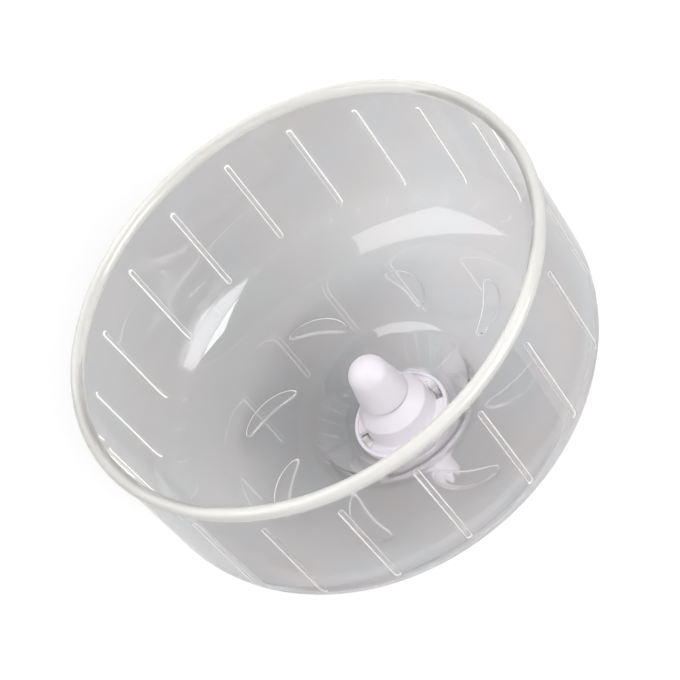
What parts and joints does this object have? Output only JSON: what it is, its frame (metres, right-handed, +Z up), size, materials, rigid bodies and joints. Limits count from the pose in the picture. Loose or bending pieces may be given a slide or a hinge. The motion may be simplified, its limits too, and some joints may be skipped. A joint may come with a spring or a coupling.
{
  "type": "hamster wheel",
  "caption": "Clear plastic running wheel for a hamster: open drum with moulded rungs and crescents, on a ball-bearing hub with a white nose cap and a toothed plug.",
  "frame": {"origin": "centre of the axle's rear end face, where the toothed plug enters its holder on the cage wall", "axes": "+Y along the axle, out of the wheel's back; the open mouth of the drum faces -Y; +Z is up in use"},
  "size_m": [0.12, 0.0836, 0.12],
  "materials": {
    "clear_plastic": "clear, polished",
    "white_plastic": "satin white",
    "zinc_steel": "bright zinc",
    "bearing_steel": "ground and polished",
    "cage_steel": "pressed sheet",
    "bush_plastic": "natural nylon"
  },
  "bodies": {
    "axle": {"axle_rod": "zinc_steel", "mount_sleeve": "white_plastic", "nose_cap": "white_plastic", "axle_nut": "zinc_steel", "nut_washer": "zinc_steel", "spacer_bush": "bush_plastic", "bearing_inner_ring": "bearing_steel"},
    "wheel": {"wheel_drum": "clear_plastic", "hub_flange": "white_plastic", "rear_cover": "white_plastic", "bearing_outer_ring": "bearing_steel", "bearing_shield_front": "bearing_steel", "bearing_shield_rear": "bearing_steel"},
    "ball_cage": {"bearing_cage": "cage_steel", "bearing_ball_1": "bearing_steel", "bearing_ball_2": "bearing_steel", "bearing_ball_3": "bearing_steel", "bearing_ball_4": "bearing_steel", "bearing_ball_5": "bearing_steel", "bearing_ball_6": "bearing_steel", "bearing_ball_7": "bearing_steel"}
  },
  "joints": [
    {"name": "wheel_spin", "type": "hinge", "parent": "axle", "child": "wheel", "pos_m": [0, -0.0275, 0], "axis": [0, 1, 0], "continuous": true},
    {"name": "cage_spin", "type": "hinge", "parent": "axle", "child": "ball_cage", "pos_m": [0, -0.0275, 0], "axis": [0, 1, 0], "continuous": true}
  ],
  "couplings": [
    {"joint": "cage_spin", "follows": "wheel_spin", "ratio": 0.6352}
  ]
}
